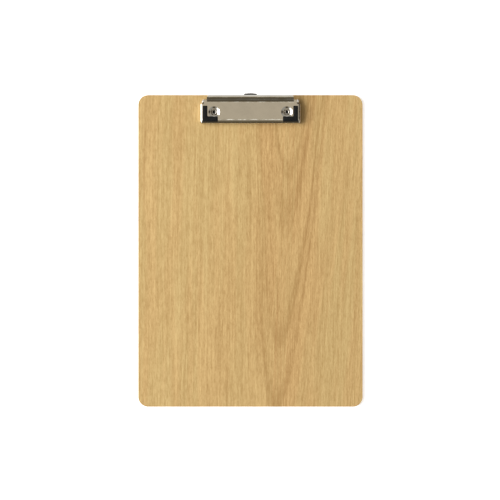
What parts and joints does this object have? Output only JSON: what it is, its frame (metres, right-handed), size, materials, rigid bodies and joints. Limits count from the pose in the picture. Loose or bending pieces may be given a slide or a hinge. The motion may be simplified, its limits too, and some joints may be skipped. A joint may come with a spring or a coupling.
{
  "type": "clipboard",
  "caption": "Letter-size fibreboard clipboard with a sprung chrome lever clip, rubber corner grips and a pull-out hanging tab.",
  "frame": {"origin": "centre of the part's bounding box in X and Y, at the height of the lowest point of the rivet heads, on which the board's back rests", "axes": "+Y towards the clip along the board's length, +Z out of the board's front face, +X to the right of a reader who has the clip at the top"},
  "size_m": [0.2286, 0.3192, 0.0137],
  "materials": {
    "fibreboard": "raw cut fibreboard edge",
    "beech_print": "satin printed beech laminate",
    "chrome_steel": "bright nickel-chrome plate",
    "pin_steel": "plain drawn steel",
    "spring_steel": "drawn spring wire",
    "grip_rubber": "matt black moulded rubber",
    "rivet_steel": "bright nickel plate",
    "black_plastic": "black moulded plastic"
  },
  "bodies": {
    "board": {"board_core": "fibreboard", "front_laminate": "beech_print", "back_laminate": "beech_print", "clip_base_plate": "chrome_steel", "hinge_pin": "pin_steel", "left_spring": "spring_steel", "right_spring": "spring_steel", "left_rivet": "rivet_steel", "right_rivet": "rivet_steel"},
    "lever": {"lever_plate": "chrome_steel", "left_grip": "grip_rubber", "right_grip": "grip_rubber"},
    "hanger": {"hanger": "black_plastic"}
  },
  "joints": [
    {"name": "lever_hinge", "type": "hinge", "parent": "board", "child": "lever", "pos_m": [0, 0.15065, 0.0072], "axis": [-1, 0, 0], "range_deg": [0, 28], "stiffness_Nm_per_rad": 0.2, "springref_deg": -68.75, "deforming": ["left_spring", "right_spring"]},
    {"name": "hanger_slide", "type": "slide", "parent": "board", "child": "hanger", "axis": [0, 1, 0], "range_m": [0, 0.0122]}
  ]
}
